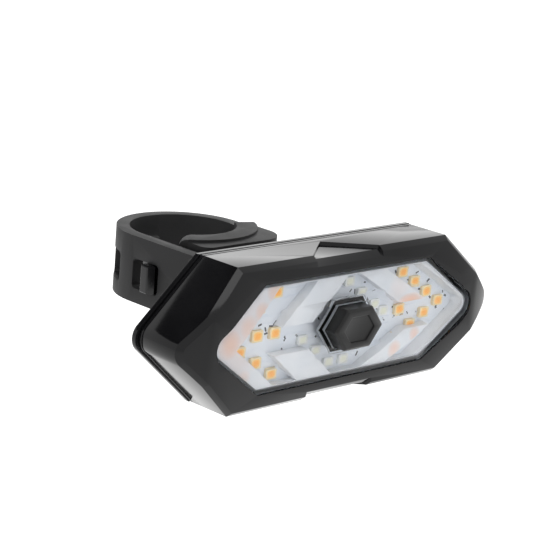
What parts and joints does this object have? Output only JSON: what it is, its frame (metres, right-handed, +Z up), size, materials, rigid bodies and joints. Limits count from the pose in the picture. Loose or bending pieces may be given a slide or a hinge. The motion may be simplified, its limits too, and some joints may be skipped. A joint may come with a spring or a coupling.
{
  "type": "bicycle turn signal light",
  "caption": "Wide six-sided bicycle light with two arrow-shaped amber indicators, a middle push button, and a rubber strap clamp for a round post.",
  "frame": {"origin": "on the axis of the post that the strap clamps, at the middle of the clamp's height", "axes": "+Z up along the post, the light's lens faces -Y, +X to the right of a viewer who looks at the lens"},
  "size_m": [0.1012, 0.0781, 0.0338],
  "materials": {
    "gloss_black": "glossy moulded plastic",
    "satin_black": "satin moulded plastic",
    "clear": "clear polished plastic",
    "milky": "milky white plastic",
    "board_white": "white solder mask",
    "led_amber": "amber phosphor under clear resin",
    "led_white": "pale resin",
    "chip_black": "moulded epoxy",
    "tinned": "tinned metal",
    "steel": "plated steel",
    "button_rubber": "smooth satin rubber",
    "strap_rubber": "matte rubber",
    "seal_rubber": "soft silicone",
    "foam": "foam tape",
    "cell_wrap": "laminated pouch",
    "wire": "wire insulation"
  },
  "bodies": {
    "light": {"front_shell": "gloss_black", "rear_cover": "gloss_black", "cover_seal": "seal_rubber", "cover_screws": "steel", "lens": "clear", "lens_seal": "seal_rubber", "reflector": "milky", "circuit_board": "board_white", "board_screws": "steel", "amber_leds_left": "led_amber", "amber_leds_right": "led_amber", "white_leds": "led_white", "chip_resistors": "chip_black", "control_chip": "chip_black", "radio_module": "tinned", "buzzer": "chip_black", "battery_pad": "foam", "battery": "cell_wrap", "battery_leads": "wire", "charging_socket": "tinned", "plug_hinge": "seal_rubber", "button_seal": "seal_rubber", "tact_switch": "chip_black", "mount_bracket": "satin_black", "bracket_screws": "steel", "saddle_pad": "strap_rubber", "strap": "strap_rubber"},
    "button": {"push_button": "button_rubber"},
    "plunger": {"switch_plunger": "chip_black"},
    "plug": {"charging_plug": "seal_rubber"},
    "tongue": {"strap_end": "strap_rubber"}
  },
  "joints": [
    {"name": "button_press", "type": "slide", "parent": "light", "child": "button", "axis": [0, 1, 0], "range_m": [0, 0.00035], "stiffness_N_per_m": 600, "springref_m": -0.001},
    {"name": "plunger_press", "type": "slide", "parent": "light", "child": "plunger", "axis": [0, 1, 0], "range_m": [0, 0.00035]},
    {"name": "plug_open", "type": "hinge", "parent": "light", "child": "plug", "pos_m": [0.01725, -0.0508, -0.0183], "axis": [0, 1, 0], "range_deg": [0, 110]},
    {"name": "strap_release", "type": "hinge", "parent": "light", "child": "tongue", "pos_m": [-0.01685, 0.0011, 0], "axis": [0, 0, -1], "range_deg": [0, 60]}
  ],
  "couplings": [
    {"joint": "plunger_press", "follows": "button_press", "ratio": 1}
  ]
}
